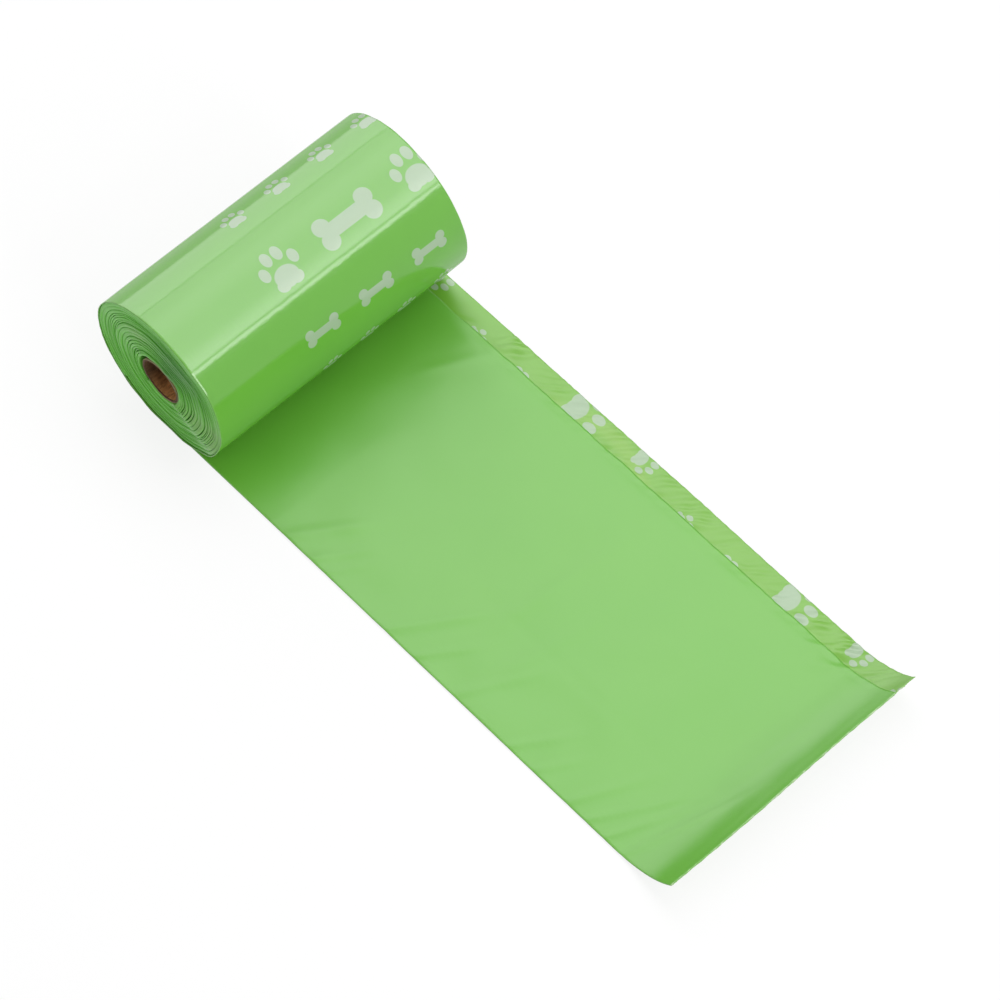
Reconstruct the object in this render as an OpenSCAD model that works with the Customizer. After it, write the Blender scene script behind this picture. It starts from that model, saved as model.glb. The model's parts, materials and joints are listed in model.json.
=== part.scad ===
// A roll of thin film bags, wound as one perforated web on a small paper core.
// One length of the web lies loose on the table, and its free end curls up a little.
// Frame: X runs along the roll, the loose web lies towards -Y, and Z = 0 is the table.
// The origin is on the table, straight below the middle of the roll's axis.

/* [Core] */
// Bore of the paper core
core_bore_d = 9.4; // [8:0.2:13]
// Wall of the paper core
core_wall = 0.6; // [0.4:0.1:1]
// How much shorter the core is than the roll
core_short = 0.8; // [0.2:0.2:4]
// How far the core has slid out of the roll towards -X
core_slide = 0.8; // [0:0.1:2]
// How far the core has sunk below the middle of the soft roll
core_drop = 0.7; // [0:0.1:1.2]

/* [Roll] */
// Width of the folded web, which is the length of the roll
web_w = 62; // [50:1:90]
// Diameter of the wound roll
roll_d = 36; // [30:0.5:45]
// How far the soft roll has settled on its flat spot
settle = 0.4; // [0.2:0.1:0.8]
// Turns that stand out on each end of the roll
turns = 12; // [6:1:14]
// Width of the groove between two turns
groove_w = 0.3; // [0.1:0.05:0.3]
// Depth of that groove
groove_depth = 0.9; // [0.3:0.1:2]

/* [Loose web] */
// Length of the web that lies off the roll, measured along the film
loose_len = 142; // [80:1:300]
// Length of its free end that curls up
curl_len = 17; // [6:1:30]
// Radius of the curl
curl_r = 19.5; // [15:0.5:60]
// Thickness of the lower layers, with the air between them
lower_t = 0.3; // [0.2:0.05:0.6]
// Thickness of the layers that are folded over them
upper_t = 0.2; // [0.1:0.05:0.6]
// Strip at the +X edge that the folded layers leave bare
bare_strip = 4.8; // [2:0.2:12]

/* [Hidden] */

$fn = 96;

roll_r = roll_d / 2;
core_r = core_bore_d / 2 + core_wall;
core_len = web_w - core_short;
axis_z = roll_r - settle;
flat_len = loose_len - curl_len;
curl_angle = curl_len / curl_r * 180 / PI;
// Angle that the last half turn of the groove runs, from the top of the roll
last_sweep = 160;
// A cutter runs this far past the face that it opens
past = 1;

// Distance between turns where the film room from the core to the outside is this high.
// It is in even hundredths, so that the half turns of the groove meet exactly.
function pitch(room) = floor(50 * room / turns) / 50;

// Heights where turn k crosses the upright through the axis, above it and below it. The
// turns lie closer together under the sunken core than over it.
function up(k) = core_r - core_drop + k * pitch(roll_r - core_r + core_drop);
function down(k) = core_r + core_drop + k * pitch(roll_r - core_r - core_drop);

// Lays what was built round the Z axis along the roll's axis, with its +X upwards
module along_axis() {
    translate([0, 0, axis_z]) rotate([0, -90, 0]) children();
}

// Paper core: a plain tube, open at both ends
module core() {
    color("rosybrown")
    along_axis() translate([-core_drop, 0, core_slide]) difference() {
        cylinder(r = core_r, h = core_len, center = true);
        cylinder(d = core_bore_d, h = core_len + 2 * past, center = true);
    }
}

// Half a turn of the groove, with a rectangular section, between a height above the axis
// and one below it: down the back, or up the front
module half_turn(top, bottom, front = false, sweep = 180) {
    translate([(top - bottom) / 2, 0, 0])
    rotate([0, 0, front ? 180 : 0])
    rotate_extrude(angle = sweep)
    translate([(top + bottom) / 2 - groove_w / 2, -groove_depth])
    square([groove_w, groove_depth + past]);
}

// Groove between the turns, in one end of the roll: half circles that join into a spiral.
// It runs from the core out to the last turn, and ends behind the place where that turn
// leaves the roll as the loose web.
module turn_groove() {
    for (k = [0.5 : turns - 1.5]) {
        half_turn(up(k), down(k));
        half_turn(up(k + 1), down(k), front = true);
    }
    half_turn(up(turns - 0.5), down(turns - 0.5), sweep = last_sweep);
}

// Wound part of the web: the turns pressed into one body, with a flat spot on the table
module wound_turns() {
    difference() {
        along_axis() difference() {
            cylinder(r = roll_r, h = web_w, center = true);
            translate([-core_drop, 0, 0])
                cylinder(r = core_r, h = web_w + 2 * past, center = true);
            for (end = [0, 1]) mirror([0, 0, end])
                translate([0, 0, web_w / 2]) turn_groove();
        }
        translate([-web_w / 2 - past, -roll_r, -past])
            cube([web_w + 2 * past, 2 * roll_r, past]);
    }
}

// Section of the loose web across its width, with its underside at height "base" and its
// top at height base + rise * thickness. The folded layers stop short of the +X edge.
module web_section(base, rise) {
    fold_x = web_w / 2 - bare_strip;
    full = base + rise * (lower_t + upper_t);
    low = base + rise * lower_t;
    polygon([
        [-web_w / 2, base], [web_w / 2, base], [web_w / 2, low],
        [fold_x, low], [fold_x, full], [-web_w / 2, full]
    ]);
}

// Loose web: flat on the table, then curling up on a radius at its free end. The curl is
// swept about an axis along X, which lies curl_r above the end of the flat part.
module loose_web() {
    rotate([90, 0, 0]) linear_extrude(height = flat_len) web_section(0, 1);
    translate([0, -flat_len, curl_r])
        rotate(a = 180, v = [1, 0, -1])
        rotate_extrude(angle = curl_angle)
        rotate([0, 0, -90])
        web_section(curl_r, -1);
}

// The whole web is one strip of film: the wound turns and the loose length
module bag_web() {
    color("yellowgreen")
    union() {
        wound_turns();
        loose_web();
    }
}

core();
bag_web();
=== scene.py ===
"""A roll of thin green film bags on a paper core, with one length of the web lying loose."""

import json
import math
import random

import bmesh
import bpy
from mathutils import Matrix, Vector, noise


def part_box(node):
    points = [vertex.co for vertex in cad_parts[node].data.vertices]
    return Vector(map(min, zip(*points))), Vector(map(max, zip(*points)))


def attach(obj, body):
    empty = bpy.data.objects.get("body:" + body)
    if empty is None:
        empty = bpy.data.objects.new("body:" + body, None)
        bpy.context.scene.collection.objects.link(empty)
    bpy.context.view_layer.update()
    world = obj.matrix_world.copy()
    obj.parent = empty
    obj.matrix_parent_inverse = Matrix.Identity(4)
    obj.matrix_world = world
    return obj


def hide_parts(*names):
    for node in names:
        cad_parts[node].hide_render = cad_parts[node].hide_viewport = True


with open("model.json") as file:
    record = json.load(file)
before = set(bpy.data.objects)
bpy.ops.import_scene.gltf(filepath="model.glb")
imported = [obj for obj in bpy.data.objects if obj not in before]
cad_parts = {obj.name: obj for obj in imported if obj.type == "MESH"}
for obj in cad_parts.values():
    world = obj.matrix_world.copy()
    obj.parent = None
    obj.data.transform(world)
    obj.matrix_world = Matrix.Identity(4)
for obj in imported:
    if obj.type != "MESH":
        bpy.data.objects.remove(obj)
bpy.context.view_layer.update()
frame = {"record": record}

MM = 0.001


# Paper core
# The film is wound on a thin tube of reddish brown board. The tube is wound from two plies
# on a slant and glued, then cut to length with a knife, which leaves the rim a little rough.

core_low, core_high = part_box("core")
core_mid = (core_low + core_high) / 2
core_r = (core_high.z - core_low.z) / 2
core_half = (core_high.x - core_low.x) / 2
bore_r = frame["record"]["mounts"][0]["dims"]["r_mm"] * MM
core_steps = 128
core_rings = 40
core_out_of_round = 0.03
rim_bevel = 0.1 * MM
rim_zone = 0.6 * MM
rim_rough = 0.09 * MM
rim_wave = 1.7 * MM
rim_fibre = 0.45 * MM
ply_pitch = 17 * MM


def in_scene(bm, name):
    """Puts a finished bmesh into the scene as a smooth object."""
    mesh = bpy.data.meshes.new(name)
    bm.to_mesh(mesh)
    bm.free()
    mesh.shade_smooth()
    ob = bpy.data.objects.new(name, mesh)
    bpy.context.scene.collection.objects.link(ob)
    return ob


bm = bmesh.new()
wall = [
    bm.verts.new((x, 0, r))
    for x, r in ((-core_half, bore_r), (-core_half, core_r), (core_half, core_r), (core_half, bore_r))
]
for i in range(len(wall)):
    bm.edges.new((wall[i - 1], wall[i]))
bmesh.ops.bevel(
    bm, geom=wall, offset=rim_bevel, offset_type="OFFSET", affect="VERTICES",
    segments=3, profile=0.5, material=-1,
)
long_edges = [e for e in bm.edges if e.calc_length() > core_half]
bmesh.ops.subdivide_edges(bm, edges=long_edges, cuts=core_rings)
bmesh.ops.spin(
    bm, geom=bm.verts[:] + bm.edges[:], cent=(0, 0, 0), axis=(1, 0, 0),
    angle=2 * math.pi, steps=core_steps, use_merge=True,
)
bmesh.ops.remove_doubles(bm, verts=bm.verts[:], dist=1e-7)
bmesh.ops.recalc_face_normals(bm, faces=bm.faces[:])
for v in bm.verts:
    x, y, z = v.co
    near_end = max(0, abs(x) - core_half + rim_zone) / rim_zone
    wave = noise.noise(Vector((y, z, x)) / rim_wave)
    fine = noise.noise(Vector((y, z, x)) / rim_fibre)
    v.co.x += math.copysign(near_end * rim_rough * (wave + 0.6 * fine - 0.9), x)
    v.co.y *= 1 - core_out_of_round * abs(x) / core_half
bmesh.ops.translate(bm, vec=core_mid, verts=bm.verts[:])
core = in_scene(bm, "paper_core")


def start_material(ob, name):
    """Gives an object its material, and hands back the nodes, the links and the main shader."""
    material = bpy.data.materials.new(name)
    material.use_nodes = True
    ob.data.materials.append(material)
    tree = material.node_tree
    return tree.nodes, tree.links, tree.nodes["Principled BSDF"]


# The functions below add steps to the node tree that "nodes" and "links" belong to
def feed(slot, value):
    """Gives an input a fixed value, or links it to what another step puts out."""
    if isinstance(value, bpy.types.NodeSocket):
        links.new(value, slot)
    else:
        slot.default_value = value


def calc(operation, *values):
    """One step of arithmetic."""
    step = nodes.new("ShaderNodeMath")
    step.operation = operation
    for slot, value in zip(step.inputs, values):
        feed(slot, value)
    return step.outputs["Value"]


def away(x, y):
    """Distance from an axis, worked out from its two parts."""
    return calc("SQRT", calc("ADD", calc("MULTIPLY", x, x), calc("MULTIPLY", y, y)))


def ramp(value, start, end, low, high):
    """Maps a value from one range to another, and stops at its ends."""
    step = nodes.new("ShaderNodeMapRange")
    for slot, given_value in zip(step.inputs, (value, start, end, low, high)):
        feed(slot, given_value)
    return step.outputs["Result"]


def mixed(amount, first, second):
    """Mixes two colours."""
    step = nodes.new("ShaderNodeMix")
    step.data_type = "RGBA"
    for name, value in (("Factor", amount), ("A", first), ("B", second)):
        feed(step.inputs[name], value)
    return step.outputs["Result"]


def parts(vector):
    """The X, Y and Z of a vector."""
    step = nodes.new("ShaderNodeSeparateXYZ")
    links.new(vector, step.inputs["Vector"])
    return step.outputs


def stretched(place, scale):
    """The place for a pattern, stretched along each axis."""
    step = nodes.new("ShaderNodeMapping")
    step.inputs["Scale"].default_value = scale
    links.new(place, step.inputs["Vector"])
    return step.outputs["Vector"]


def cloudy(place, **settings):
    """A noise pattern at a place, with its settings by their names."""
    step = nodes.new("ShaderNodeTexNoise")
    links.new(place, step.inputs["Vector"])
    for name, value in settings.items():
        feed(step.inputs[name], value)
    return step.outputs["Fac"]


def bump(height, strength, distance):
    """Shades the main shader as if its surface rose and sank with a pattern."""
    step = nodes.new("ShaderNodeBump")
    step.inputs["Strength"].default_value = strength
    step.inputs["Distance"].default_value = distance
    links.new(height, step.inputs["Height"])
    links.new(step.outputs["Normal"], skin.inputs["Normal"])


nodes, links, skin = start_material(core, "core_board")
skin.inputs["Roughness"].default_value = 0.85
skin.inputs["Specular IOR Level"].default_value = 0.3
place = nodes.new("ShaderNodeTexCoord")
from_middle = nodes.new("ShaderNodeVectorMath")
from_middle.operation = "SUBTRACT"
from_middle.inputs[1].default_value = core_mid
links.new(place.outputs["Object"], from_middle.inputs[0])
along, backward, upward = parts(from_middle.outputs["Vector"])
fibre_place = stretched(from_middle.outputs["Vector"], (700, 1900, 1900))
fibre = cloudy(fibre_place, Scale=1, Detail=5, Roughness=0.65)
board = mixed(ramp(fibre, 0.3, 0.72, 0, 1), (0.28, 0.125, 0.04, 1), (0.85, 0.45, 0.17, 1))
# The slanted joint of the inner ply is a thin dark line that climbs along the tube
part_turn = calc("DIVIDE", calc("ARCTAN2", backward, upward), 2 * math.pi)
joint = calc("PINGPONG", calc("MULTIPLY_ADD", along, 1 / ply_pitch, part_turn), 0.5)
board = mixed(ramp(joint, 0, 0.02, 0.35, 1), (0.03, 0.01, 0.006, 1), board)
# Painted shade: the board is darkened almost to black along its back, where the inside of the bore
# lies in shadow
board = mixed(ramp(backward, 0.8 * MM, 4.2 * MM, 0, 0.85), board, (0.03, 0.02, 0.01, 1))
# The knife cut shows both plies: the inner one is dark, and the outer one is paler
cut = ramp(calc("ABSOLUTE", along), core_half - 0.2 * MM, core_half - 0.08 * MM, 0, 1)
outer_ply = ramp(away(backward, upward), core_r - 0.34 * MM, core_r - 0.22 * MM, 0, 1)
plies = mixed(outer_ply, (0.09, 0.045, 0.022, 1), (0.26, 0.21, 0.11, 1))
links.new(mixed(cut, board, plies), skin.inputs["Base Color"])
bump(fibre, 0.5, 0.1 * MM)

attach(core, "root")
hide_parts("core")


# Wound turns
# Five metres of film, folded to a flat web of eight layers, are wound on the core. Eighteen
# uneven turns stand for them: most are tight, some hold air, and their edges wander.

web_low, web_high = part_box("bag_web")
roll_r = web_high.y
half_w = web_high.x
axis_z = web_high.z - roll_r
turns_drawn = 18
turn_steps = 96
# The edge of a turn is a round bead. What its ends do fades out over the end zone.
bead_depth = 0.2 * MM
bead_zone = 1.2 * MM
end_zone = 3 * MM
edge_wander = 0.12 * MM
edge_buckle = 0.05 * MM
middle_bulge = 0.35 * MM
# The outer web goes round this often, and sinks this far with each time round
outer_wraps = 1.12
outer_pitch = 0.4 * MM
# What lies over and under the turns, and between the innermost one and the core
web_over = 0.2 * MM
web_under = 0.55 * MM
core_gap = 0.27 * MM
flat_corner = 0.06 * MM


def soft_min(a, b, width):
    """The smaller of two lengths, with the corner between them rounded off."""
    gap = (a - b) / width
    return min(a, b) - width * math.log1p(math.exp(-abs(gap)))


def pressed(r, angle, under):
    """Radius of a turn, flattened at the bottom by the table and by the layers under it."""
    down = math.cos(angle)
    if down < 0.3:
        return r
    return soft_min(r, (axis_z - under) / down, flat_corner)


def outward(angle):
    """Direction away from the axis, at an angle that runs from the bottom up the back."""
    return Vector((0, math.sin(angle), -math.cos(angle)))


def near(angle, middle, width):
    """1 at one angle round the roll, falling towards 0 some degrees to either side of it."""
    return math.exp((math.cos(angle - math.radians(middle)) - 1) / (1 - math.cos(math.radians(width))))


def end_shift(x, angle):
    """How far the film stands out along the roll at its ends, where it was wound askew."""
    if x > 0:
        return 0.2 * MM * near(angle, 150, 50) - 0.1 * MM
    return (0.42 - 0.4 * near(angle, 236, 18) + 0.8 * near(angle, 300, 16)) * MM


def between(values, at):
    """Value at a fractional place in a list."""
    i = min(int(at), len(values) - 2)
    return values[i] + (values[i + 1] - values[i]) * (at - i)


# The turns are unevenly thick, and some leave a groove between them and the next one
slack = random.Random(4)
thick_turn = [1.5, 1.7] + [0.4 + 1.5 * slack.random() for _ in range(turns_drawn)]
groove = [0.0] + [0.3 * slack.random() if slack.random() < 0.5 else 0 for _ in range(turns_drawn)]
room = [(thick_turn[i] + thick_turn[i + 1]) / 2 + groove[i] for i in range(turns_drawn + 1)]
sums = [sum(room[:i]) for i in range(turns_drawn + 1)]
near_in = [0.0, 0.1] + [0.4 * slack.random() for _ in range(turns_drawn)]
far_in = [0.0, 0.1] + [0.4 * slack.random() for _ in range(turns_drawn)]
# The outermost turn keeps close to the outer web until it has come down the roll's front
keeps_close = 0.75
all_room = between(sums, turns_drawn - keeps_close)
first_half = thick_turn[0] / 2 * (roll_r - core_r) / all_room


def turn_place(turn, angle):
    """A point of the wound film in the section of the roll, and how thick the turn is there."""
    settled = max(0, turn - keeps_close)
    t = 1 - between(sums, settled) / all_room
    # The roll isn't quite round: its turns lie closer on one side than on the other
    t += 0.02 * math.cos(angle - 0.9) * math.sin(2 * math.pi * t)
    t += 0.00667 * math.cos(2 * angle + 0.4) * math.sin(4 * math.pi * t)
    inner = core_mid + outward(angle) * (core_r + core_gap)
    sunk = outer_pitch * (min(1, turn) - 1.5 + outer_wraps) + web_over + first_half
    outer_r = pressed(roll_r - sunk, angle, web_under + first_half)
    outer = Vector((0, 0, axis_z)) + outward(angle) * outer_r
    unit = (outer - inner).length / all_room
    return inner.lerp(outer, t), t, unit * between(thick_turn, settled)


def painted_edge_highlight(angle, t):
    """How pale the bead tips are painted, a painted highlight for the light the film edges catch: in
    front, and at the back.
    """
    front = near(angle, 284, 20) * (0.5 + 0.5 * t)
    behind = 0.7 * near(angle, 150, 18) * max(0, 1 - abs(t - 0.45) / 0.3)
    return min(1, front + behind)


def tightness_and_shade(angle):
    """1 above the core and towards the front, where the turns are pressed flat together; it also sets
    the painted shade on their edges there.
    """
    return near(angle, 212, 40)


# Section of one turn: down one side of it, round the edge, back up the other side and round
# the other edge. Each point gives its distance from the end and its part of half the
# thickness. The turns have rounded edges, because each is a bundle of soft layers.
round_edge = [
    (bead_depth * (1 - math.cos(math.radians(a))), math.sin(math.radians(a)))
    for a in (90, 60, 30, 0, -30, -60, -90)
]
half_section = [(end_zone, 1), (bead_zone, 1)] + round_edge + [(bead_zone, -1), (end_zone, -1)]
section = [(-half_w + d, side) for d, side in half_section]
section += [(half_w - d, -side) for d, side in half_section]

bm = bmesh.new()
bmesh.ops.create_grid(
    bm, x_segments=len(section), y_segments=turns_drawn * turn_steps, size=0.5,
)
edge_highlight_layer = bm.verts.layers.float.new("edge")
edge_shade_layer = bm.verts.layers.float.new("tight_and_shade")
for v in bm.verts:
    column = round((v.co.x + 0.5) * len(section)) % len(section)
    turn = (v.co.y + 0.5) * turns_drawn
    angle = 2 * math.pi * (turn + outer_wraps)
    x, side = section[column]
    tight_and_shade = tightness_and_shade(angle)
    if half_w - abs(x) <= bead_depth:
        x = math.copysign(half_w - (half_w - abs(x)) * (1 - 0.7 * tight_and_shade), x)
    at_end = max(0, 1 - (half_w - abs(x)) / end_zone)
    place, t, thick = turn_place(turn, angle)
    spot = Vector((math.sin(angle) * 2.4, math.cos(angle) * 2.4, turn * 0.22))
    ripple = noise.noise(spot) + 0.5 * noise.noise(spot * 2.7 + Vector((5, 0, 0)))
    drawn_in = between(near_in if x < 0 else far_in, turn) * (1 - 0.6 * tight_and_shade) * MM
    shift = end_shift(x, angle) + (1 - t) ** 2 * middle_bulge - drawn_in - edge_wander * ripple
    place += outward(angle) * (side * thick / 2 + edge_buckle * ripple * at_end)
    # Painted highlight on the bead tips, where the film edges catch the light
    v[edge_highlight_layer] = painted_edge_highlight(angle, t) if abs(side) < 0.9 else 0
    # Painted shade on the edges above the core, where the end face lies in shade
    v[edge_shade_layer] = tight_and_shade * min(1, (1 - t) / 0.3)
    v.co = place
    v.co.x = x + math.copysign(shift * at_end, x)
bmesh.ops.remove_doubles(bm, verts=bm.verts[:], dist=1e-7)
bmesh.ops.holes_fill(bm, edges=[e for e in bm.edges if e.is_boundary], sides=0)
bmesh.ops.recalc_face_normals(bm, faces=bm.faces[:])
wound = in_scene(bm, "wound_turns")

# Tone of the film: cloudy, where the layers hold more or less air, with fine wrinkles
tone = bpy.data.node_groups.new("film_tone", "ShaderNodeTree")
tone.interface.new_socket("Place", in_out="INPUT", socket_type="NodeSocketVector")
tone.interface.new_socket("Cloud scale", in_out="INPUT", socket_type="NodeSocketFloat")
tone.interface.new_socket("Cloud", in_out="OUTPUT", socket_type="NodeSocketFloat")
tone.interface.new_socket("Wrinkle", in_out="OUTPUT", socket_type="NodeSocketFloat")
nodes, links = tone.nodes, tone.links
given = nodes.new("NodeGroupInput")
made = nodes.new("NodeGroupOutput")
cloud = cloudy(given.outputs["Place"], Scale=given.outputs["Cloud scale"], Detail=3)
wrinkle = cloudy(given.outputs["Place"], Scale=420, Detail=3, Distortion=0.6)
links.new(cloud, made.inputs["Cloud"])
links.new(wrinkle, made.inputs["Wrinkle"])


def place_group(group):
    """Places a node group in the current material."""
    step = nodes.new("ShaderNodeGroup")
    step.node_tree = group
    return step


def carried(name):
    """A value that the mesh carries at its points, under this name."""
    step = nodes.new("ShaderNodeAttribute")
    step.attribute_name = name
    return step.outputs["Fac"]


# The bead tips are painted pale in patches, a painted highlight where the film edges catch the light,
# and the edges above the core are painted dark, a painted shade where the end face is shaded
nodes, links, skin = start_material(wound, "film_edges")
skin.inputs["Roughness"].default_value = 0.3
skin.inputs["Specular IOR Level"].default_value = 0.08
place = nodes.new("ShaderNodeTexCoord")
film_tone = place_group(tone)
film_tone.inputs["Cloud scale"].default_value = 190
links.new(place.outputs["Object"], film_tone.inputs["Place"])
pale = calc("MULTIPLY", ramp(film_tone.outputs["Cloud"], 0.3, 0.6, 0.3, 1), carried("edge"))
edges = mixed(carried("tight_and_shade"), (0.16, 0.54, 0.07, 1), (0.06, 0.26, 0.03, 1))
links.new(mixed(pale, edges, (0.27, 0.48, 0.17, 1)), skin.inputs["Base Color"])

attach(wound, "root")


# Outer turn and loose web
# The last turn of the same web comes down the back of the roll and runs out flat on the
# table. The film is folded over at its -X edge, and the folded layers stop short of the other.

loose_len = 142 * MM
curl_len = 17 * MM
curl_r = 19.5 * MM
bare_strip = 4.8 * MM
sheet_t = 0.07 * MM
fold_gap = 0.25 * MM
fold_arc = math.pi / 2 * fold_gap
cling_len = 4 * MM
askew_zone = 4 * MM
tab_len = 0.22 * MM
# The folded layers puff up softly, and along their edge they droop and sway
puff_size = 8 * MM
puff_high = 0.12 * MM
droop_zone = 2 * MM
droop = 0.15 * MM
sway = 0.25 * MM
sway_len = 6 * MM
web_w = 2 * half_w
flat_w = web_w + fold_arc + web_w - bare_strip
web_len = loose_len + outer_wraps * 2 * math.pi * roll_r
flat_len = loose_len - curl_len
# Thickness of the loose web, where the outer turn comes down on it in front
layers_under = 0.34 * MM


def spread(bands):
    """Lines across or along the film: each band gives where it ends and how many it has."""
    lines = [0.0]
    for end, count in bands:
        start = lines[-1]
        lines += [start + (end - start) * (i + 1) / count for i in range(count)]
    return lines


columns = spread([
    (1.5 * MM, 6), (6.5 * MM, 18), (web_w - 1.5 * MM, 28), (web_w, 4),
    (web_w + fold_arc, 5), (web_w + fold_arc + 1.5 * MM, 4),
    (flat_w - 2 * MM, 50), (flat_w, 6),
])
lengths = spread([(22 * MM, 42), (loose_len, 230), (web_len, 90)])


def ridge(x, s, x0, s0, x1, s1, width):
    """A crease in the film from one point to another: 1 on its line, and 0 beside it."""
    dx, ds = x1 - x0, s1 - s0
    t = ((x - x0) * dx + (s - s0) * ds) / (dx * dx + ds * ds)
    if not -0.1 < t < 1.1:
        return 0
    sideways = math.hypot(x - x0 - t * dx, s - s0 - t * ds)
    taper = min(1, (t + 0.1) / 0.2, (1.1 - t) / 0.5)
    return taper * math.exp(-(sideways / width) ** 2)


# Creases of the loose web: x and distance from the free end where each starts and ends,
# its width and its height, all in millimetres. The last one is pressed in.
creases = [
    (-31, 108, -14, 96, 1.3, 0.195), (-31, 101, -18, 92, 0.9, 0.156), (-31, 97, -22, 91, 0.7, 0.13),
    (-31, 80, -10, 66, 1.2, 0.221), (-31, 72, -18, 63, 0.7, 0.169), (-31, 61, -15, 52, 1.0, 0.156),
    (-31, 46, -19, 38, 0.8, 0.143), (-31, 39, -21, 33, 0.7, 0.143), (-31, 30, -14, 22, 0.9, 0.182),
    (-31, 25, -12, 14, 0.6, 0.195), (-31, 20, -10, 11, 0.6, 0.221), (-31, 15, -6, 7, 0.7, 0.221),
    (-16, 66, 22, 62, 1.8, 0.169), (-22, 58, 8, 52, 1.5, 0.13), (-20, 18, 12, 12, 1.8, 0.169),
    (-8, 12, 18, 8, 1.4, 0.169), (10, 16, 24, 15, 1.2, 0.104), (24, 24, 31, 12, 0.7, 0.169),
    (21, 21, 30, 8, 0.8, 0.182), (26, 30, 31, 20, 0.6, 0.156), (12, 118, 30, 108, 1.2, 0.13),
    (-12.4, 70, -12.4, 14, 0.5, -0.07),
]


def waves(x, s):
    """How far the loose film stands off the table, from its slack and its creases."""
    at = Vector((x / MM, s / MM, 0))
    lift = 0.25 * (noise.noise(at / 26) + 0.6)
    lift += 0.08 * noise.noise(at / 9 + Vector((7, 0, 0)))
    for x0, s0, x1, s1, width, high in creases:
        lift += high * ridge(x / MM, s / MM, x0, s0, x1, s1, width)
    # The bare strip is gathered in short slanted puckers that run out to the edge
    strip = min(1, max(0, (x - half_w + bare_strip + 1.6 * MM) / (2.4 * MM)))
    slant = (s + 0.92 * x) / MM + 1.2 * noise.noise(at / 4)
    crowd = slant / 2.9 + 0.9 * noise.noise(Vector((slant / 7, 0, 3)))
    strong = 0.7 + 1.1 * noise.noise(Vector((s / MM / 7, 1, 8)))
    lift += 0.3 * strip * max(0.1, strong) * abs(math.sin(math.pi * crowd))
    # Next to the roll, its weight holds the film flat
    free = min(1, max(0, (loose_len - s - 16 * MM) / (14 * MM)))
    return max(0, lift) * MM * free


def on_web(across_at, s):
    """Where a point of the film lies: across_at from its +X edge, s from its free end."""
    upper = across_at > web_w + fold_arc / 2
    # The layers cling together along the torn edge
    loose = min(1, 0.25 + max(0, s) / cling_len)
    gap = loose * fold_gap if s < loose_len else 0.6 * fold_gap
    if across_at <= web_w:
        x, h = half_w - across_at, 0
    elif across_at < web_w + fold_arc:
        around = math.pi * (across_at - web_w) / fold_arc
        x, h = -half_w - gap / 2 * math.sin(around), gap / 2 * (1 - math.cos(around))
    else:
        x, h = -half_w + across_at - web_w - fold_arc, gap
    h += sheet_t / 2
    if s < loose_len:
        h += waves(x, s)
        if upper:
            puff = noise.noise(Vector((x, s, 0)) / puff_size) + 0.5
            at_edge = max(0, 1 - (half_w - bare_strip - x) / droop_zone)
            h += loose * (puff_high * max(0, puff) * (1 - at_edge) - droop * at_edge)
            x += sway * at_edge * noise.noise(Vector((s / sway_len, 2, 0)))
    if s < curl_len:
        bend = (curl_len - s) / curl_r
        r = curl_r - h
        return Vector((x, -flat_len - r * math.sin(bend), curl_r - r * math.cos(bend)))
    if s < loose_len:
        return Vector((x, s - loose_len, h))
    angle = (s - loose_len) / roll_r
    wraps = angle / (2 * math.pi)
    under = layers_under if wraps > 0.75 else 0
    grown = min(1, wraps / 0.1)
    at_end = max(0, abs(x) - half_w + askew_zone) / askew_zone
    spot = Vector((math.sin(angle) * 3, math.cos(angle) * 3, x / (20 * MM)))
    rumple = noise.noise(spot) + 0.6 * noise.noise(spot * 3.1)
    shift = grown * end_shift(x, angle) * at_end + 0.1 * MM * rumple * at_end ** 2
    x += math.copysign(shift, x)
    r = roll_r + outer_pitch * (0.5 - wraps) * grown - 0.05 * MM * (1 - rumple) * at_end
    return Vector((x, 0, axis_z)) + outward(angle) * (pressed(r, angle, under) - h)


bm = bmesh.new()
bmesh.ops.create_grid(
    bm, x_segments=len(columns) - 1, y_segments=len(lengths) - 1, size=0.5,
)
film_map = bm.loops.layers.uv.new("film")
bare = bm.verts.layers.float.new("bare")
torn = bm.verts.layers.float.new("torn")
flat_place = {}
for v in bm.verts:
    column = round((v.co.x + 0.5) * (len(columns) - 1))
    row = round((v.co.y + 0.5) * (len(lengths) - 1))
    a, s = columns[column], lengths[row]
    flat_place[v.index] = (a, s)
    # Between the bags the film is perforated, so that its free edge keeps a row of tiny tabs
    tab = tab_len if row == 0 and column % 2 else 0
    v[bare] = 1 if a < web_w + fold_arc / 2 else 0
    v[torn] = 1 if row == 0 else 0
    v.co = on_web(a, s - tab)
for face in bm.faces:
    for loop in face.loops:
        loop[film_map].uv = flat_place[loop.vert.index]
bmesh.ops.recalc_face_normals(bm, faces=bm.faces[:])
web = in_scene(bm, "outer_web")
film_wall = web.modifiers.new("film_thickness", "SOLIDIFY")
film_wall.thickness = sheet_t
film_wall.offset = 0

# Pale ink: rows of plain paw marks and bones across the film, in millimetres on its map
print_rows = [
    {"at": 189.0, "high": 6.5, "step": 11.0, "marks": "paws", "from": -9.0},
    {"at": 205.0, "high": 10.5, "step": 16.5, "marks": "both", "from": -13.0},
    {"at": 220.0, "high": 6.0, "step": 13.5, "marks": "bones", "from": -11.0},
    {"at": 232.5, "high": 5.5, "step": 9.5, "marks": "paws", "from": -8.0},
]
print_repeat = 58.0
# Marks in parts of their row's height, of which this much shows on either side of its middle
row_half = 0.55
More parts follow.
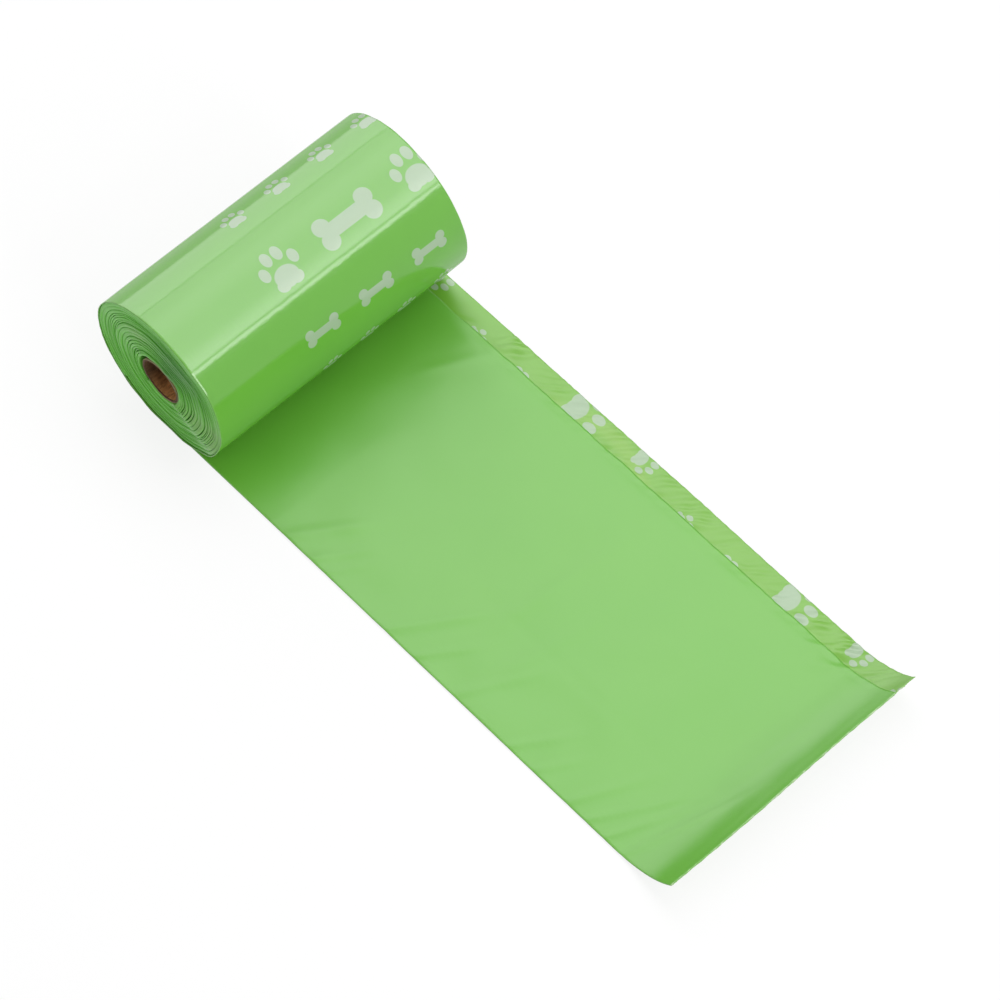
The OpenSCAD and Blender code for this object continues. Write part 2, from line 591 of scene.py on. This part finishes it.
# Ovals that make a mark: x and y of the middle, half width and half height
paw_marks = [
    (0.0, -0.16, 0.25, 0.21), (-0.15, -0.27, 0.14, 0.12), (0.15, -0.27, 0.14, 0.12),
    (-0.33, 0.08, 0.10, 0.14), (-0.12, 0.30, 0.10, 0.15), (0.12, 0.30, 0.10, 0.15),
    (0.33, 0.08, 0.10, 0.14),
]
bone_marks = [
    (-0.5, 0.15, 0.18, 0.18), (-0.5, -0.15, 0.18, 0.18), (0.5, 0.15, 0.18, 0.18),
    (0.5, -0.15, 0.18, 0.18),
]
bone_half_len = 0.5
bone_half_high = 0.15
ink_soft = 0.05
# Large rings of the print on the lower layers, which show faintly through the upper ones:
# x, distance from the free end, radius and width of the line
ghost_rings = [
    (6, 82, 23, 1.5), (-3, 92, 7.5, 1.3), (17, 99, 4.5, 1.0), (15, 46, 5.0, 1.0), (3, 33, 8.0, 1.2),
    (-16, 50, 4.0, 1.0),
]
ghost_soft = 0.5

ink = bpy.data.node_groups.new("pale_print", "ShaderNodeTree")
ink.interface.new_socket("Film", in_out="INPUT", socket_type="NodeSocketVector")
ink.interface.new_socket("Ink", in_out="OUTPUT", socket_type="NodeSocketFloat")
ink.interface.new_socket("Ghost", in_out="OUTPUT", socket_type="NodeSocketFloat")
nodes, links = ink.nodes, ink.links
given = nodes.new("NodeGroupInput")
made = nodes.new("NodeGroupOutput")


def inside(value, soft):
    """1 where value is under 1, and 0 where it is over, with a narrow soft edge."""
    return ramp(value, 1 + soft, 1 - soft, 0, 1)


def away_from(x, y, x0, y0, wide, high):
    """Distance from a centre, 1 on the oval of that width and height round it."""
    dx = calc("MULTIPLY", calc("SUBTRACT", x, x0), 1 / wide)
    dy = calc("MULTIPLY", calc("SUBTRACT", y, y0), 1 / high)
    return away(dx, dy)


def nearest(x, y, marks):
    """Distance to the nearest of several ovals."""
    found = away_from(x, y, *marks[0])
    for mark in marks[1:]:
        found = calc("MINIMUM", found, away_from(x, y, *mark))
    return found


film_across, film_along, _ = parts(given.outputs["Film"])
x_mm = calc("SUBTRACT", half_w / MM, calc("MULTIPLY", film_across, 1 / MM))
s_mm = calc("MULTIPLY", film_along, 1 / MM)
first = print_rows[0]["at"] - print_rows[0]["high"]
# Ten repeats are added, so that the remainder isn't negative near the free end
run = calc("MODULO", calc("ADD", s_mm, 10 * print_repeat - first), print_repeat)
mark_x, mark_y, bones, shown = 0.0, 0.0, 0.0, 0.0
for line in print_rows:
    up = calc("MULTIPLY", calc("SUBTRACT", line["at"] - first, run), 1 / line["high"])
    count = calc("DIVIDE", calc("SUBTRACT", x_mm, line["from"]), line["step"])
    whole = calc("FLOOR", count)
    on_row = calc("LESS_THAN", calc("ABSOLUTE", up), row_half)
    on = calc("MULTIPLY", on_row, calc("GREATER_THAN", count, 0))
    side = calc("SUBTRACT", calc("SUBTRACT", count, whole), 0.5)
    x_at = calc("MULTIPLY", side, line["step"] / line["high"])
    every_other = calc("MODULO", whole, 2)
    is_bone = {"paws": 0.0, "both": every_other, "bones": 1.0}[line["marks"]]
    mark_x = calc("ADD", mark_x, calc("MULTIPLY", on, x_at))
    mark_y = calc("ADD", mark_y, calc("MULTIPLY", on, up))
    bones = calc("ADD", bones, calc("MULTIPLY", on, is_bone))
    shown = calc("ADD", shown, on)
paw = inside(nearest(mark_x, mark_y, paw_marks), ink_soft)
shaft_x = calc("MULTIPLY", calc("ABSOLUTE", mark_x), 1 / bone_half_len)
shaft_y = calc("MULTIPLY", calc("ABSOLUTE", mark_y), 1 / bone_half_high)
shaft = inside(calc("MAXIMUM", shaft_x, shaft_y), ink_soft)
bone = calc("MAXIMUM", inside(nearest(mark_x, mark_y, bone_marks), ink_soft), shaft)
bone_part = calc("MULTIPLY", bone, bones)
paw_part = calc("MULTIPLY", paw, calc("SUBTRACT", 1, bones))
links.new(calc("MULTIPLY", calc("ADD", bone_part, paw_part), shown), made.inputs["Ink"])
rings = 0.0
for x, s, r, line_w in ghost_rings:
    from_line = calc("ABSOLUTE", calc("SUBTRACT", away_from(x_mm, s_mm, x, s, 1, 1), r))
    rings = calc("MAXIMUM", rings, inside(calc("MULTIPLY", from_line, 1 / line_w), ghost_soft))
links.new(rings, made.inputs["Ghost"])

nodes, links, skin = start_material(web, "bag_film")
skin.inputs["IOR"].default_value = 1.6
flat_map = nodes.new("ShaderNodeUVMap")
flat_map.uv_map = "film"
film_tone = place_group(tone)
film_tone.inputs["Cloud scale"].default_value = 45
print_group = place_group(ink)
links.new(flat_map.outputs["UV"], film_tone.inputs["Place"])
links.new(flat_map.outputs["UV"], print_group.inputs["Film"])
along_film = parts(flat_map.outputs["UV"])["Y"]
# Pulled tight round the roll the film is glossy, and where it lies loose it is duller
wound_part = ramp(along_film, loose_len - 20 * MM, loose_len + 20 * MM, 0, 1)
links.new(ramp(wound_part, 0, 1, 0.36, 0.11), skin.inputs["Roughness"])
# Seen along the surface, the fine wrinkles hide most of the gloss
slope = nodes.new("ShaderNodeLayerWeight")
links.new(ramp(slope.outputs["Facing"], 0.55, 0.82, 0.5, 0.02), skin.inputs["Specular IOR Level"])
# One layer alone looks yellower than eight. The folded layers lie over the print and let
# only a little of it show, and along the free edge the torn tabs are stretched pale.
single = carried("bare")
loose_single = calc("MULTIPLY", single, calc("SUBTRACT", 1, wound_part))
green = mixed(film_tone.outputs["Cloud"], (0.11, 0.37, 0.03, 1), (0.13, 0.39, 0.04, 1))
green = mixed(calc("MULTIPLY", loose_single, 0.8), green, (0.15, 0.365, 0.028, 1))
green = mixed(calc("MULTIPLY", print_group.outputs["Ghost"], 0.2), green, (0.32, 0.47, 0.10, 1))
ink_amount = calc("MULTIPLY", print_group.outputs["Ink"], ramp(single, 0, 1, 0.07, 1))
green = mixed(ink_amount, green, (0.31, 0.43, 0.28, 1))
tab_patches = ramp(film_tone.outputs["Wrinkle"], 0.5, 0.6, 0, 0.7)
green = mixed(calc("MULTIPLY", carried("torn"), tab_patches), green, (0.5, 0.62, 0.4, 1))
links.new(green, skin.inputs["Base Color"])
# Fine wrinkles all over, and short ones in a line along the roll, where it is wound tightest
tight_wrinkle = cloudy(stretched(flat_map.outputs["UV"], (900, 90, 1)), Scale=1, Detail=2)
tight_start = ramp(along_film, 203 * MM, 207 * MM, 0, 1)
tight_end = ramp(along_film, 210 * MM, 211.5 * MM, 1, 0)
tight_part = calc("MULTIPLY", calc("MULTIPLY", tight_start, tight_end), tight_wrinkle)
bump(calc("ADD", film_tone.outputs["Wrinkle"], calc("MULTIPLY", tight_part, 3)), 0.08, 0.2 * MM)

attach(web, "root")
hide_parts("bag_web")


# Table
# A plain white studio table. The camera sees it near white, and it keeps a soft shadow.

table_size = 8
table_below = 0.02 * MM
bpy.ops.mesh.primitive_plane_add(size=table_size, location=(0, 0, -table_below))
table = bpy.context.object
table.name = "table"


def seen_directly():
    """1 for what the camera sees, also in a gloss or through the film, and 0 for the light."""
    rays = nodes.new("ShaderNodeLightPath")
    seen = calc("MAXIMUM", rays.outputs["Is Camera Ray"], rays.outputs["Is Glossy Ray"])
    return calc("MAXIMUM", seen, rays.outputs["Is Transmission Ray"])


nodes, links, skin = start_material(table, "table_white")
nodes.remove(skin)
matt = nodes.new("ShaderNodeBsdfDiffuse")
matt.inputs["Color"].default_value = (0.9, 0.9, 0.9, 1)
glow = nodes.new("ShaderNodeEmission")
both = nodes.new("ShaderNodeMixShader")
links.new(calc("MULTIPLY", seen_directly(), 0.85), both.inputs["Fac"])
links.new(matt.outputs["BSDF"], both.inputs[1])
links.new(glow.outputs["Emission"], both.inputs[2])
links.new(both.outputs["Shader"], nodes["Material Output"].inputs["Surface"])


# Studio light
# One long softbox hangs over the roll. A bright strip along its front edge draws the sharp
# line along the roll. A lit wall, a front and a side panel and a dim white room fill in.

box_x = 0.45
box_wide = 0.7
box_height = 1.0
box_strength = 7.8
box_front = -1.31
box_back = 1.2
box_y = (box_front + box_back) / 2
# Where the softbox changes from its front edge to its back, and how bright it is there
box_levels = [
    (-1.31, 0.75), (-1.12, 0.75), (-1.09, 0.12), (-0.98, 0.15), (-0.93, 0.6), (-0.7, 0.52),
    (-0.4, 0.36), (0.0, 0.34), (0.25, 0.39), (0.5, 0.40), (0.8, 0.33), (1.2, 0.32),
]
room_level = 0.18


def softbox(name, place, wide, deep, strength, aim):
    """An area light of that size and radiance, facing a point. Gives its nodes and links."""
    lamp = bpy.data.lights.new(name, "AREA")
    lamp.shape = "RECTANGLE"
    lamp.size = wide
    lamp.size_y = deep
    lamp.energy = strength * math.pi * wide * deep
    lamp.use_nodes = True
    ob = bpy.data.objects.new(name, lamp)
    ob.location = place
    ob.rotation_euler = (Vector(aim) - ob.location).to_track_quat("-Z", "Y").to_euler()
    bpy.context.scene.collection.objects.link(ob)
    return lamp.node_tree.nodes, lamp.node_tree.links


box_place = (box_x, box_y, box_height)
nodes, links = softbox(
    "overhead_box", box_place, box_wide, box_back - box_front, box_strength, (box_x, box_y, 0),
)
lit_y = parts(nodes.new("ShaderNodeNewGeometry").outputs["Position"])["Y"]
levels = nodes.new("ShaderNodeValToRGB")
stops = levels.color_ramp.elements
for y, level in box_levels[1:-1]:
    stops.new((y - box_front) / (box_back - box_front))
for stop, (y, level) in zip(stops, box_levels):
    stop.color = (level, level, level, 1)
links.new(ramp(lit_y, box_front, box_back, 0, 1), levels.inputs["Fac"])
links.new(levels.outputs["Color"], nodes["Emission"].inputs["Strength"])

nodes, links = softbox("back_wall", (0.5, 1.25, 0.5), 0.9, 1.0, 3.1, (0.5, 0, 0.5))
lit_z = parts(nodes.new("ShaderNodeNewGeometry").outputs["Position"])["Z"]
links.new(ramp(lit_z, 0.0, 1.0, 0.45, 1.0), nodes["Emission"].inputs["Strength"])

softbox("front_panel", (-0.05, -1.4, 0.7), 0.6, 0.9, 5.6, (0, 0, 0.02))
softbox("side_panel", (-1.1, 0.6, 0.8), 0.9, 0.9, 1.1, (0, 0, 0.02))

world = bpy.data.worlds.new("room")
bpy.context.scene.world = world
world.use_nodes = True
nodes, links = world.node_tree.nodes, world.node_tree.links
room_light = nodes["Background"]
room_light.inputs["Color"].default_value = (1, 1, 1, 1)
links.new(ramp(seen_directly(), 0, 1, room_level, 1.0), room_light.inputs["Strength"])


# Camera
# It looks down on the near end of the roll with a long lens, turned a little about its axis.

azimuth = math.radians(-39.76)
elevation = math.radians(59.39)
tilt = math.radians(-3.31)
distance = 0.9269
aim_right = 40.73 * MM
aim_up = -32.61 * MM
back = Vector((
    math.sin(azimuth) * math.cos(elevation),
    -math.cos(azimuth) * math.cos(elevation),
    math.sin(elevation),
))
level_right = Vector((math.cos(azimuth), math.sin(azimuth), 0))
level_up = back.cross(level_right)
right = math.cos(tilt) * level_right + math.sin(tilt) * level_up
up = back.cross(right)
lens = bpy.data.cameras.new("camera")
lens.sensor_width = 36
lens.lens = 171.47
camera = bpy.data.objects.new("camera", lens)
stand = Matrix.Translation(aim_right * right + aim_up * up + distance * back)
camera.matrix_world = stand @ Matrix((right, up, back)).transposed().to_4x4()
bpy.context.scene.collection.objects.link(camera)
bpy.context.scene.camera = camera
bpy.context.scene.view_settings.view_transform = "Standard"
